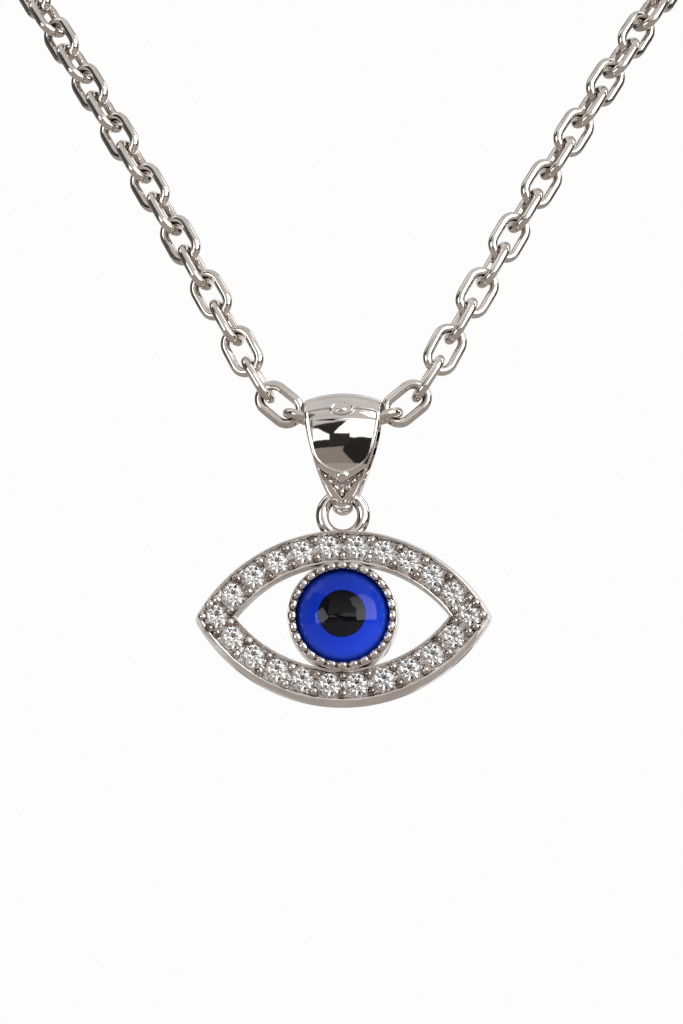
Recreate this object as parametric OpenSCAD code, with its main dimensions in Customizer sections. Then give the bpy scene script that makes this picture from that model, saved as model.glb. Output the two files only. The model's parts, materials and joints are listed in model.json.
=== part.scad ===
/* [Chain] */
// Thickness of the link wire
wire_d = 0.72; // [0.6:0.02:0.8]
// Outer width of a link
link_w = 2.75; // [2.6:0.05:2.9]
// Longest step from one link's centre to the next
link_step = 2.6; // [2.5:0.05:2.8]
// Clearance between the wires of two linked links
link_gap = 0.12; // [0.1:0.01:0.2]

/* [Clasp] */
// Thickness of the clasp's wire
clasp_wire_d = 1.1; // [0.9:0.1:1.3]
// Outer length of the clasp
clasp_l = 9.6; // [8:0.2:12]
// Outer width of the clasp
clasp_w = 4.6; // [4.2:0.2:5.4]

/* [Bail] */
// Greatest width of the bail, at its top
bail_w = 5.74; // [5.5:0.02:5.8]
// Radius of the hollow that the chain runs through
bail_bore_r = 1.65; // [1.62:0.01:1.8]
// Wall at the top of the bail
bail_wall = 0.48; // [0.4:0.02:0.6]
// Wall in front of and behind the ring
foot_wall = 0.62; // [0.5:0.02:0.7]
// Height from the chain's centre line down to the ring's top wire
bail_drop = 5.36; // [5:0.1:6]
// Width of the bail where it grips the ring
foot_w = 1.74; // [1.6:0.02:1.8]
// Radius of the bail's curved sides, seen from the front
bail_side_r = 17.14; // [15:0.5:22]
// Radius of the arch over the top of the bail
bail_arch_r = 9; // [8:0.5:14]
// Radius of the bail's curved front and back, seen from the side
bail_face_r = 22; // [16:1:40]
// Width of the raised border round the front panel
border_w = 0.33; // [0.25:0.01:0.4]
// Depth of the polished panel below its border
panel_depth = 0.12; // [0.08:0.01:0.16]
// Depth of the petal field below its border
petal_depth = 0.26; // [0.18:0.02:0.3]
// Diameter of a grain in the petal field
petal_d = 0.4; // [0.3:0.02:0.5]
// Diameter of the small boss over the petals
boss_d = 0.8; // [0.6:0.05:0.9]
// Depth of the boss's centre below the skin of the bail
boss_sink = 0.2; // [0.1:0.05:0.3]
// Length of the oval ornament at the top of the panel
oval_l = 1.76; // [1.4:0.02:2]
// Clearance between the bail and the ring
ring_gap = 0.12; // [0.1:0.01:0.14]

/* [Ring] */
// Inner diameter of the ring
ring_hole_d = 2.08; // [2:0.02:2.2]
// Thickness of the ring's wire
ring_wire_d = 0.98; // [0.9:0.02:1]
// Height of the ring's centre above the eye's centre
ring_height = 7.6; // [7.5:0.05:7.8]
// Distance of the ring's plane in front of the frame's back
ring_plane = 1.1; // [0.9:0.05:1.2]
// Width of the solder feet under the ring
solder_w = 3.3; // [3:0.1:3.8]

/* [Eye frame] */
// Distance between the centres of the two tip stones
row_w = 18.78; // [18.4:0.02:19.4]
// Rise of the stone row over the tips, at the middle
row_rise = 5.17; // [5.1:0.01:5.3]
// Thickness of the frame from back to rim
frame_t = 1.9; // [1.8:0.05:2.2]
// Depth of the stone bed below the rims
bed_depth = 0.3; // [0.2:0.02:0.4]
// Width of each raised rim
rim_w = 0.25; // [0.2:0.01:0.3]
// Gap between a stone's edge and the rims
rim_gap = 0.1; // [0.06:0.01:0.16]
// How far the outer wall flares out towards the back
flare = 0.28; // [0.1:0.02:0.4]
// Radius of the rounded tips
tip_r = 0.5; // [0.4:0.05:0.6]

/* [Stones] */
// Diameter of a stone
stone_d = 1.7; // [1.5:0.02:1.76]
// Number of stones on the upper arc, with both tip stones
arc_stones = 12; // [10:1:12]
// Diameter of the table, the flat top facet
table_d = 0.94; // [0.8:0.02:1.1]
// Height of the crown, from girdle to table
crown_h = 0.27; // [0.2:0.01:0.32]
// Height of the girdle band
girdle_h = 0.05; // [0.03:0.01:0.08]
// Depth of the pavilion, from girdle to point
pavilion_h = 0.72; // [0.6:0.02:0.8]
// Height of the girdle over the stone bed
stone_lift = 0.06; // [0.03:0.01:0.1]
// Clearance between a stone and its seat
seat_gap = 0.03; // [0.02:0.01:0.05]
// Diameter of the hole behind each stone
azure_d = 0.8; // [0.6:0.05:1]

/* [Prong beads] */
// Diameter of a prong bead
bead_d = 0.54; // [0.44:0.02:0.58]
// Distance of a bead from the stones' centre line
bead_side = 0.63; // [0.58:0.01:0.66]
// Height of a bead's centre over the stone bed
bead_lift = 0.14; // [0.08:0.02:0.2]
// Distance of a tip bead from the tip stone's centre
tip_bead_reach = 0.98; // [0.94:0.01:1]
// Angle between the beads round a tip stone
tip_bead_angle = 62; // [55:1:70]

/* [Bezel] */
// Diameter of the bezel at its top
bezel_d = 8.14; // [8.1:0.02:8.3]
// Height of the bezel wall from the frame's back
bezel_h = 2.1; // [2:0.05:2.4]
// Height of the ledge that the cabochon sits on
ledge_h = 1.2; // [1:0.05:1.4]
// Width of the ledge
ledge_w = 0.6; // [0.4:0.05:0.8]
// Number of grains round the bezel
grain_count = 28; // [24:1:32]
// Thickness of the grain ring
grain_d = 0.48; // [0.4:0.02:0.52]
// Depth of the notch between two grains
notch_depth = 0.22; // [0.14:0.02:0.26]

/* [Glass eye] */
// Diameter of the cabochon
glass_d = 6.96; // [6.8:0.02:7]
// Height of the straight edge of the cabochon
glass_edge_h = 0.52; // [0.4:0.02:0.6]
// Height of the cabochon's dome
dome_h = 1.75; // [1.5:0.05:1.9]
// Diameter of the black pupil
pupil_d = 3.48; // [3.2:0.04:3.8]
// Depth of the pupil below the top of the dome
pupil_depth = 1.0; // [0.9:0.05:1.2]
// Clearance round the cabochon and round the pupil
glass_gap = 0.02; // [0.02:0.01:0.04]

/* [Hidden] */
// Centre line of half the chain from the bail to the nape: right, back, up
CHAIN_ROUTE = [
    [0, 0, -0.1], [5, 0.2, 1.6], [8.8, 1.2, 8.0], [13.9, 3.6, 17.3], [21.3, 8.5, 30.2], [31, 18, 47],
    [41, 31, 64], [49, 46, 78], [52, 62, 88], [47, 79, 95], [34, 93, 98], [18, 101, 99], [0, 104, 99]
];
// Straight pieces that each span of the route is measured with
ROUTE_STEPS = 12;
// Overlap that keeps cuts clear of the faces they open
cut = 1;

// The part's origin is on the clasp, at the nape
nape = CHAIN_ROUTE[len(CHAIN_ROUTE) - 1];

link_l = link_step + 2 * wire_d + link_gap;
ring_r = (ring_hole_d + ring_wire_d) / 2;
ring_hole_r = ring_hole_d / 2;
stone_r = stone_d / 2;
eye_z = -bail_drop - ring_r - ring_height;

// The stone rows are two arcs of one radius, whose centres lie below and above the eye's centre
row_r = (pow(row_w / 2, 2) + pow(row_rise, 2)) / (2 * row_rise);
row_centre = row_r - row_rise;
row_half_angle = asin(row_w / 2 / row_r);
row_pitch_angle = 2 * row_half_angle / (arc_stones - 1);
rim_offset = stone_r + rim_gap + rim_w;
bed_offset = stone_r + rim_gap;
bed_z = frame_t - bed_depth;
girdle_z = bed_z + stone_lift;
glass_r = glass_d / 2;
glass_z = ledge_h + glass_gap;
dome_base_z = glass_z + glass_edge_h;
dome_r = (pow(glass_r, 2) + pow(dome_h, 2)) / (2 * dome_h);
grain_ring_r = glass_r + grain_d / 2;
pupil_r = pupil_d / 2;
stone_count = 2 * arc_stones - 2;

function two_digits(n) = n < 10 ? str("0", n) : str(n);
function stone_name(i) = str("stone_", two_digits(i + 1));

$fn = 64;

// Curve through the route's points

function mirrored(p) = [-p.x, p.y, p.z];
function route_point(i) =
    i < 0 ? mirrored(CHAIN_ROUTE[-i])
    : i < len(CHAIN_ROUTE) ? CHAIN_ROUTE[i]
    : mirrored(CHAIN_ROUTE[2 * len(CHAIN_ROUTE) - 2 - i]);
function spline(a, b, c, d, t) =
    (2 * b + (c - a) * t + (2 * a - 5 * b + 4 * c - d) * t * t + (3 * b - a - 3 * c + d) * t * t * t) / 2;
function spline_point(i, t) =
    spline(route_point(i - 1), route_point(i), route_point(i + 1), route_point(i + 2), t);
half_curve = concat(
    [for (i = [0 : len(CHAIN_ROUTE) - 2], j = [0 : ROUTE_STEPS - 1]) spline_point(i, j / ROUTE_STEPS)],
    [nape]
);
function running_length(points, i = 0, sum = 0) =
    i == len(points) - 1 ? [sum]
    : concat([sum], running_length(points, i + 1, sum + norm(points[i + 1] - points[i])));
curve_length = running_length(half_curve);
half_length = curve_length[len(curve_length) - 1];
function point_along(s, i = 0) =
    s <= 0 ? mirrored(point_along(-s + 0.000001))
    : i >= len(half_curve) - 1 ? mirrored(point_along(2 * half_length - s))
    : s <= curve_length[i + 1]
        ? half_curve[i] + (half_curve[i + 1] - half_curve[i])
            * (s - curve_length[i]) / (curve_length[i + 1] - curve_length[i])
    : point_along(s, i + 1);

// The links share the half loop evenly between the middle link and the clasp
clasp_reach = link_l / 2 + clasp_l / 2 - wire_d - clasp_wire_d - link_gap;
links_a_side = ceil((half_length - clasp_reach) / link_step);
step = (half_length - clasp_reach) / links_a_side;

// Puts its children between two points of the route, with their length along it
module between_joints(from_s, to_s) {
    joint_a = point_along(from_s);
    joint_b = point_along(to_s);
    t = joint_b - joint_a;
    translate((joint_a + joint_b) / 2)
        rotate([0, -asin(t.z / norm(t)), atan2(t.y, t.x)])
            children();
}

// Oval link of round wire, long along X and flat across Y
module oval_link(l, w, d) {
    r = (w - d) / 2;
    reach = (l - w) / 2;
    rotate([90, 0, 0]) {
        for (side = [0, 180])
            rotate([0, 0, side]) {
                translate([reach, 0, 0]) rotate([0, 0, -90])
                    rotate_extrude(angle = 180) translate([r, 0]) circle(d = d);
                translate([-reach, r, 0]) rotate([0, 90, 0])
                    cylinder(d = d, h = 2 * reach);
            }
    }
}

module chain_link(k) {
    between_joints((k - 0.5) * step, (k + 0.5) * step) rotate([90 * (k % 2), 0, 0])
        oval_link(link_l, link_w, wire_d);
}

module chain() {
    color("silver")
        for (k = [0 : links_a_side]) {
            chain_link(k);
            if (k > 0) mirror([1, 0, 0]) chain_link(k);
        }
}

module clasp() {
    color("silver")
        translate(nape) rotate([90 * ((links_a_side + 1) % 2), 0, 0])
            oval_link(clasp_l, clasp_w, clasp_wire_d);
}

// Teardrop of two circles and the straight lines that touch both, foot down
module teardrop(r_top, r_foot, drop) {
    tilt = asin((r_top - r_foot) / drop);
    touch = [cos(tilt), -sin(tilt)];
    circle(r = r_top);
    translate([0, -drop]) circle(r = r_foot);
    polygon([
        r_top * touch, [0, -drop] + r_foot * touch,
        [0, -drop] + r_foot * [-touch.x, touch.y], r_top * [-touch.x, touch.y]
    ]);
}

// The foot hangs in the ring's hole, so its lowest point is at the hole's centre
foot_bottom = bail_drop + ring_r;
foot_r = ring_wire_d / 2 + ring_gap + foot_wall;
foot_z = foot_bottom - foot_r;
bail_top = bail_bore_r + bail_wall;

// The front's arc touches the top circle and the foot circle, and its centre lies behind them
top_reach = bail_face_r - bail_top;
foot_reach = bail_face_r - foot_r;
face_z = (pow(foot_reach, 2) - pow(top_reach, 2) - pow(foot_z, 2)) / (2 * foot_z);
face_y = sqrt(pow(top_reach, 2) - pow(face_z, 2));

// Side outline of the bail, front to the left, made smaller all round by the inset
module bail_side(inset) {
    circle(r = bail_top - inset);
    translate([0, -foot_z]) circle(r = foot_r - inset);
    intersection() {
        face_sector(inset);
        mirror([1, 0]) face_sector(inset);
    }
}

// Sector of the front's circle between the places where it touches the two circles
module face_sector(inset) {
    far = 2 * bail_face_r;
    intersection() {
        translate([face_y, face_z]) circle(r = bail_face_r - inset, $fn = 256);
        polygon([
            [face_y, face_z], [face_y, face_z] + [-face_y, -face_z] / top_reach * far,
            [face_y, face_z] + [-face_y, -foot_z - face_z] / foot_reach * far
        ]);
    }
}

// Front outline between the two curved sides, made narrower by the inset
module bail_sides(inset) {
    side_z = 2.05;
    intersection() {
        translate([bail_w / 2 - bail_side_r, side_z]) circle(r = bail_side_r - inset);
        translate([bail_side_r - bail_w / 2, side_z]) circle(r = bail_side_r - inset);
    }
}

module bail_front() {
    foot_top = foot_bottom - foot_w / 2;
    intersection() {
        bail_sides(0);
        translate([-bail_w, -foot_top]) square([2 * bail_w, 3 * bail_top + foot_top]);
        translate([0, bail_top - bail_arch_r]) circle(r = bail_arch_r);
    }
    translate([0, -foot_top]) circle(d = foot_w);
}

// Polished field: straight top edge, curved sides and a round lower end
module panel_outline() {
    panel_top = 0.9;
    panel_round_r = 2.1;
    panel_round_z = -1.55;
    intersection() {
        bail_sides(border_w);
        union() {
            translate([-bail_w / 2, panel_round_z])
                square([bail_w, panel_top - panel_round_z]);
            translate([0, panel_round_z]) circle(r = panel_round_r);
        }
    }
}

// Arrow-shaped field under the chevron
module petal_outline() {
    wing = [1.5, -3.85];
    notch_z = -4.72;
    tip = [0.3, -5.72];
    polygon([[-wing.x, wing.y], [0, notch_z], wing, tip, [-tip.x, tip.y]]);
}

// What lies between two insets of the bail's skin, in front
module front_skin(outer_inset, inner_inset) {
    intersection() {
        rotate([90, 0, 90])
            linear_extrude(bail_w, center = true)
                difference() {
                    bail_side(outer_inset);
                    bail_side(inner_inset);
                }
        translate([-bail_w, -2 * bail_top, -2 * foot_bottom])
            cube([2 * bail_w, 2 * bail_top, 4 * foot_bottom]);
    }
}

module pressed_field(depth) {
    intersection() {
        front_skin(-cut, depth);
        rotate([90, 0, 0]) linear_extrude(2 * bail_top + cut) children();
    }
}

// Free way of the ring's wire round its own axis while the eye swings
module ring_way() {
    way_r = foot_r + cut / 4;
    way_angle = 150;
    translate([0, 0, -bail_drop])
        rotate([0, 0, 90]) rotate([90, 0, 0])
            rotate([0, 0, -90 - way_angle / 2])
                rotate_extrude(angle = way_angle)
                    difference() {
                        translate([0, -bail_w / 2]) square([way_r, bail_w]);
                        translate([ring_r, 0]) circle(r = ring_hole_r - ring_gap);
                    }
}

// Place on the front of the bail, at a height on its inset skin
module on_front(z, inset) {
    touch_z = -face_z * (bail_top - inset) / top_reach;
    on_top = z > touch_z;
    centre = on_top ? [0, 0] : [face_y, face_z];
    skin_r = (on_top ? bail_top : bail_face_r) - inset;
    lean = asin((z - centre.y) / skin_r);
    translate([0, centre.x - skin_r * cos(lean), z]) rotate([90 - lean, 0, 0]) children();
}

module oval_ornament() {
    oval_z = 0.62;
    rim_shape = [1, 0.5];
    dish_shape = [0.78, 0.32];
    on_front(oval_z, panel_depth) {
        linear_extrude(2 * panel_depth, center = true)
            difference() {
                scale(rim_shape) circle(d = oval_l);
                scale(dish_shape) circle(d = oval_l);
            }
        sphere(d = oval_l / 4);
    }
}

// Grains of the petal field: distance from the middle and height
module petals() {
    side_grains = [[0.95, -4.3], [0.3, -4.85], [0.66, -4.72]];
    lowest_z = -5.25;
    for (side = [-1, 1], grain = side_grains)
        on_front(grain.y, petal_depth) translate([side * grain.x, 0, 0]) sphere(d = petal_d);
    on_front(lowest_z, petal_depth) sphere(d = petal_d);
}

module boss() {
    boss_z = -4.1;
    on_front(boss_z, boss_sink) sphere(d = boss_d);
}

module bail() {
    color("silver") {
        difference() {
            intersection() {
                rotate([90, 0, 90]) linear_extrude(bail_w + cut, center = true) bail_side(0);
                rotate([90, 0, 0]) linear_extrude(3 * bail_top, center = true) bail_front();
            }
            rotate([90, 0, 90]) linear_extrude(bail_w + 2 * cut, center = true)
                teardrop(bail_bore_r, ring_wire_d / 2 + ring_gap, bail_drop);
            ring_way();
            pressed_field(panel_depth) panel_outline();
            pressed_field(petal_depth) petal_outline();
        }
        oval_ornament();
        petals();
        boss();
    }
}

// Everything on the eye is modelled flat, front up, and then stood up under the ring
module stand_eye() {
    translate([0, 0, eye_z]) rotate([90, 0, 0]) translate([0, 0, -ring_plane]) children();
}

// Almond of two arcs, offset from the stone rows, with its tips rounded if a radius is given
module almond(offset_r, round_r = 0) {
    arc_r = row_r + offset_r;
    if (round_r > 0) {
        tip_x = sqrt(pow(arc_r - round_r, 2) - pow(row_centre, 2));
        difference() {
            almond(offset_r);
            tip_wedges(tip_x);
        }
        intersection() {
            union() {
                translate([tip_x, 0]) circle(r = round_r);
                translate([-tip_x, 0]) circle(r = round_r);
            }
            tip_wedges(tip_x);
        }
    } else {
        intersection() {
            translate([0, -row_centre]) circle(r = arc_r);
            translate([0, row_centre]) circle(r = arc_r);
        }
    }
}

module tip_wedges(tip_x) {
    reach = row_w / 4;
    for (side = [-1, 1])
        polygon([
            [side * tip_x, 0],
            [side * (tip_x + reach), reach * row_centre / tip_x],
            [side * (tip_x + reach), -reach * row_centre / tip_x]
        ]);
}

// Outer body of the frame, wider at the back than at the rim
module flared_almond() {
    arc_r = row_r + rim_offset;
    tip_x = sqrt(pow(arc_r - tip_r, 2) - pow(row_centre, 2));
    difference() {
        intersection() {
            for_arc(-1) cylinder(r1 = arc_r + flare, r2 = arc_r, h = frame_t);
            for_arc(1) cylinder(r1 = arc_r + flare, r2 = arc_r, h = frame_t);
        }
        translate([0, 0, -cut]) linear_extrude(frame_t + 2 * cut) tip_wedges(tip_x);
    }
    intersection() {
        for (side = [-1, 1])
            translate([side * tip_x, 0, 0])
                cylinder(r1 = tip_r + flare, r2 = tip_r, h = frame_t);
        linear_extrude(frame_t) tip_wedges(tip_x);
    }
}

module for_arc(side) {
    translate([0, side * row_centre, 0]) children();
}

// Places on the stone rows, from the left tip; row 1 is the upper arc and -1 the lower
module on_row(row, place, side_step = 0) {
    a = -row_half_angle + place * row_pitch_angle;
    r = row_r + side_step;
    translate([r * sin(a), row * (r * cos(a) - row_centre), 0]) children();
}

module at_stone(i) {
    if (i < arc_stones) on_row(1, i) children();
    else on_row(-1, i - arc_stones + 1) children();
}

module prong_beads() {
    for (row = [-1, 1], gap = [0 : arc_stones - 2], side = [-1, 1])
        on_row(row, gap + 0.5, side * bead_side)
            translate([0, 0, bed_z + bead_lift]) sphere(d = bead_d, $fn = 32);
    for (tip = [0, 180], turn = [-1 : 1])
        rotate([0, 0, tip]) translate([row_w / 2, 0, bed_z + bead_lift])
            rotate([0, 0, turn * tip_bead_angle]) translate([tip_bead_reach, 0, 0])
                sphere(d = bead_d, $fn = 32);
}

// Seat of one stone: room for its crown and girdle, a cone for its pavilion and a hole to the back
module stone_seat() {
    seat_r = stone_r + seat_gap;
    seat_z = girdle_z - girdle_h / 2 - seat_gap;
    translate([0, 0, seat_z]) cylinder(r = seat_r, h = frame_t);
    translate([0, 0, seat_z - pavilion_h]) cylinder(r1 = 0, r2 = seat_r, h = pavilion_h);
    translate([0, 0, -cut]) cylinder(d = azure_d, h = cut + seat_z - pavilion_h / 2);
}

module bezel_body() {
    cylinder(d1 = bezel_d + flare / 2, d2 = bezel_d, h = bezel_h);
}

// Ring of grains: a round wire, notched between the grains
module grain_ring() {
    difference() {
        translate([0, 0, bezel_h])
            rotate_extrude() translate([grain_ring_r, 0]) circle(d = grain_d, $fn = 32);
        for (i = [0 : grain_count - 1])
            rotate([0, 0, 360 * (i + 0.5) / grain_count])
                translate([glass_r - grain_d, 0, bezel_h + grain_d / 2 - notch_depth])
                    rotate([45, 0, 0]) cube([3 * grain_d, grain_d, grain_d]);
    }
}

module bezel_bore() {
    translate([0, 0, ledge_h]) cylinder(r = glass_r + glass_gap, h = bezel_h);
    translate([0, 0, -cut]) cylinder(r = glass_r - ledge_w, h = bezel_h);
}

module ring() {
    translate([0, ring_height, ring_plane])
        rotate_extrude() translate([ring_r, 0]) circle(d = ring_wire_d);
}

module solder_feet() {
    solder_rise = 0.1;
    solder_t = ring_wire_d * 0.7;
    solder_base = row_rise + stone_r;
    translate([-solder_w / 2, solder_base, ring_plane - solder_t / 2])
        cube([solder_w, row_rise + rim_offset + solder_rise - solder_base, solder_t]);
}

module eye_setting() {
    color("silver") stand_eye() {
        difference() {
            union() {
                difference() {
                    union() {
                        flared_almond();
                        solder_feet();
                    }
                    translate([0, 0, -cut]) linear_extrude(frame_t + 2 * cut) almond(-rim_offset);
                    translate([0, 0, bed_z]) linear_extrude(frame_t)
                        difference() {
                            almond(bed_offset, tip_r - rim_w);
                            almond(-bed_offset);
                        }
                }
                bezel_body();
                ring();
                prong_beads();
            }
            for (i = [0 : stone_count - 1]) at_stone(i) stone_seat();
            bezel_bore();
        }
        grain_ring();
    }
}

module glass_dome() {
    translate([0, 0, dome_base_z + dome_h - dome_r]) sphere(r = dome_r, $fn = 128);
}

// Cabochon without the pupil's pocket
module glass_body() {
    intersection() {
        translate([0, 0, glass_z]) cylinder(r = glass_r, h = glass_edge_h + dome_h + cut);
        glass_dome();
    }
}

module glass_eye() {
    pocket_z = dome_base_z + dome_h - pupil_depth - glass_gap;
    color("royalblue") stand_eye()
        difference() {
            glass_body();
            translate([0, 0, pocket_z]) cylinder(r = pupil_r + glass_gap, h = pupil_depth + cut);
        }
}

module pupil() {
    color("black") stand_eye()
        intersection() {
            translate([0, 0, dome_base_z + dome_h - pupil_depth])
                cylinder(r = pupil_r, h = pupil_depth + cut);
            glass_dome();
        }
}

// Round brilliant: table, stars, kites, upper halves, girdle, lower halves and mains

function ring_points(count, r, z, turn) =
    [for (k = [0 : count - 1]) [r * cos(turn + k * 360 / count), r * sin(turn + k * 360 / count), z]];

module brilliant() {
    table_r = table_d / 2;
    // Radii where the crown's stars and the pavilion's halves end
    star_r = stone_r * 0.78;
    half_r = stone_r * 0.26;
    star_z = girdle_h / 2 + crown_h * (stone_r - star_r * cos(22.5)) / (stone_r - table_r);
    half_z = -girdle_h / 2 - pavilion_h * (1 - half_r * cos(22.5) / stone_r);
    points = concat(
        ring_points(8, table_r, girdle_h / 2 + crown_h, 22.5),
        ring_points(8, star_r, star_z, 0),
        ring_points(16, stone_r, girdle_h / 2, 0),
        ring_points(16, stone_r, -girdle_h / 2, 0),
        ring_points(8, half_r, half_z, 0),
        [[0, 0, -girdle_h / 2 - pavilion_h]]
    );
    table = 0;
    star = 8;
    upper = 16;
    lower = 32;
    half = 48;
    point = 56;
    faces = concat(
        [[for (k = [7 : -1 : 0]) table + k]],
        [for (k = [0 : 7]) [table + (k + 7) % 8, table + k, star + k]],
        [for (k = [0 : 7]) [table + k, star + (k + 1) % 8, upper + 2 * k + 1, star + k]],
        [for (k = [0 : 7]) [star + k, upper + 2 * k + 1, upper + 2 * k]],
        [for (k = [0 : 7]) [star + k, upper + 2 * k, upper + (2 * k + 15) % 16]],
        [for (j = [0 : 15]) [upper + j, upper + (j + 1) % 16, lower + (j + 1) % 16, lower + j]],
        [for (k = [0 : 7]) [lower + 2 * k + 1, half + (k + 1) % 8, point, half + k]],
        [for (k = [0 : 7]) [half + k, lower + 2 * k, lower + 2 * k + 1]],
        [for (k = [0 : 7]) [half + k, lower + (2 * k + 15) % 16, lower + 2 * k]]
    );
    polyhedron(points = points, faces = faces, convexity = 2);
}

module stone(i) {
    color("white") stand_eye() at_stone(i) translate([0, 0, girdle_z]) brilliant();
}

// Moves what is modelled from the chain's lowest point to the part's origin at the nape
module from_nape() {
    translate(-nape) children();
}

from_nape() chain();
from_nape() clasp();
from_nape() bail();
from_nape() eye_setting();
from_nape() glass_eye();
from_nape() pupil();
for (i = [0 : stone_count - 1])
    from_nape() stone(i);
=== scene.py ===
import json
from math import asin, atan2, ceil, cos, hypot, pi, radians, sin, sqrt, tan

import bpy
from mathutils import Matrix, Vector
from mathutils.geometry import delaunay_2d_cdt


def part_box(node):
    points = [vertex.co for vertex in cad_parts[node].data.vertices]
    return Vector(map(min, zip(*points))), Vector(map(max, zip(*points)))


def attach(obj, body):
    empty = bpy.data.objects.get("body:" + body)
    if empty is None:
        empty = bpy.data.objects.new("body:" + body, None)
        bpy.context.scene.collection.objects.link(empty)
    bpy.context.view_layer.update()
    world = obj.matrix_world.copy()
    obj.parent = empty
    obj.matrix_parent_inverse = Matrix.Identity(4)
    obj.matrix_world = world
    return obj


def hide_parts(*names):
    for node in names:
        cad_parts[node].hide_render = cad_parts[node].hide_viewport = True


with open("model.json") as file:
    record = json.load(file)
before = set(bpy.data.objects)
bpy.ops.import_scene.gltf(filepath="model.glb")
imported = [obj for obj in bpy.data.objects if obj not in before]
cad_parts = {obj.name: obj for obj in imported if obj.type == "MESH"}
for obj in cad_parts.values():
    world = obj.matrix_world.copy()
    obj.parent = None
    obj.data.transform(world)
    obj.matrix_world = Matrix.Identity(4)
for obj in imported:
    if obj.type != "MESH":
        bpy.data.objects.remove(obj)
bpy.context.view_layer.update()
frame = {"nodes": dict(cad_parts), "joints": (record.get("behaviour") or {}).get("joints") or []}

# Every size below is in millimetres, and MM turns it into the metres that Blender works in
MM = 0.001

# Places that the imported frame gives
JOINT_AT = {joint["name"]: Vector(joint["pos_m"]) / MM for joint in frame["joints"]}
HANG = JOINT_AT["bail_swing"]
RING_HINGE = JOINT_AT["eye_swing"]
_, setting_high = (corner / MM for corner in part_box("eye_setting"))
glass_low, glass_high = (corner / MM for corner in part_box("glass_eye"))
EYE_CENTRE = Vector((0, setting_high.y, (glass_low.z + glass_high.z) / 2))

# Eye frame
ROW_W = 18.78
ROW_RISE = 5.17
FRAME_T = 1.9
BED_DEPTH = 0.3
RIM_W = 0.25
RIM_GAP = 0.1
FLARE = 0.28
TIP_R = 0.5
LEAST_TIP_R = 0.04
BACK_ROUND = 0.06
RIM_ROUND = 0.06
RIM_SLOPE = 0.17
# Where the outer wall bends, as shares of the flare and of the height
WALL_BEND = (0.55, 0.45)
ARC_POINTS = 72
TIP_POINTS = 14

# Stones
STONE_D = 1.7
ARC_STONES = 12
SEAT_GAP = 0.03
PAVILION_H = 0.72
# Share of the seat's cone that lies above the step in it
SEAT_STEP = 0.28
AZURE_D = 0.8
SEAT_POINTS = 32

# Prong beads
BEAD_D = 0.73
BEAD_SIDE = 0.64
BEAD_LIFT = 0.18
TIP_BEAD_REACH = 0.99
TIP_BEAD_ANGLE = 62
TIP_BEADS = 3

# Bezel and its grains
BEZEL_D = 8.14
BEZEL_H = 2.1
LEDGE_H = 1.2
LEDGE_W = 0.6
LIP_W = 0.13
GROOVE_DEPTH = 0.2
BEZEL_CHAMFER = 0.05
GRAIN_COUNT = 28
GRAIN_L = 0.87
GRAIN_W = 0.62
GRAIN_T = 0.5
GRAIN_SINK = 0.02
GRAIN_ROW_D = 7.43

# Glass eye
GLASS_D = 6.96
GLASS_EDGE_H = 0.52
GLASS_CHAMFER = 0.08
DOME_H = 1.75
PUPIL_D = 3.48
PUPIL_DEPTH = 1.0
GLASS_GAP = 0.02
# Strength of the glass's colour at its foot and top, a painted glow that lightens its foot and darkens
# its top, and of its gloss at its middle and top
GLASS_PAINTED_GLOW = (1.7, 0.5)
GLASS_GLOSS = (1.0, 0.25)

# Ring
RING_WIRE_D = 0.98
RING_HOLE_D = 2.08
RING_PLANE = 1.1
SOLDER_U = 1.36
SOLDER_SIZE = (0.44, 0.2, 0.36)
SOLDER_SINK = 0.08

# Bail
BAIL_W = 5.74
BAIL_BORE_R = 1.65
BAIL_WALL = 0.48
BAIL_SIDE_R = 17.14
BAIL_SIDE_Z = 2.05
BAIL_CROWN_R = 11
BAIL_FACE_R = 22
FOOT_WALL = 0.62
FOOT_HALF_W = 0.75
FOOT_CROWN_R = 0.87
RING_GAP = 0.12
SWING_GAP = 0.14
BORDER_W = 0.22
TOP_ARCH = 0.15
BAIL_CORNER_R = 0.13
NECK_Z, FOOT_EDGE_Z = -5.3, -6.25
# Heights between which the skin's crown gives way to the foot's
CROWN_ENDS = (-5.6, -6.5)
# Angles from straight down between which the foot's inside widens for the ring, in degrees
FOOT_WIDENS = (85, 60)
PANEL_DEPTH = 0.12
PANEL_TOP, PANEL_FOOT, PANEL_SAG = 0.94, -3.8, 0.26
PAD_Z, PAD_HALF_W, PAD_HALF_H = 0.9, 0.86, 0.52
PETAL_DEPTH = 0.24
CHEVRON_Z, CHEVRON_X, CHEVRON_SLOPE = -3.58, 1.75, 0.66
RIB_Z, RIB_SLOPE = -5.84, 1.28
RIB_LINE_Z, RIB_LINE_SLOPE, RIB_LINE_H = -5.9, 1.3, 0.08
LOW_DEPTH = 0.14
LOW_TOP_Z, LOW_FOOT_Z, LOW_SLOPE = -6.0, -6.45, 1.34
# Width over which an edge of the relief falls
EDGE_W = 0.045

# Chain
WIRE_D = 0.72
LINK_W = 2.75
LINK_STEP = 2.6
LINK_GAP = 0.12
CLASP_WIRE_D = 1.1
CLASP_L = 9.6
CLASP_W = 4.6
# Centre line of half the chain from the bail to the nape: right, back, up
CHAIN_ROUTE = [
    (0, 0, -0.1), (5, 0.2, 1.6), (8.8, 1.2, 8.0), (13.9, 3.6, 17.3), (21.3, 8.5, 30.2), (31, 18, 47),
    (41, 31, 64), (49, 46, 78), (52, 62, 88), (47, 79, 95), (34, 93, 98), (18, 101, 99), (0, 104, 99),
]
ROUTE_STEPS = 12

# Depth of the deepest dents in the metal
DENT_DEPTH = 0.02
# Dark oxide and painted shade that fill hollows narrower than this, and their colour
HOLLOW_SHADE_REACH = 0.35
OXIDE_AND_SHADE = (0.085, 0.06, 0.048)
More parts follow.
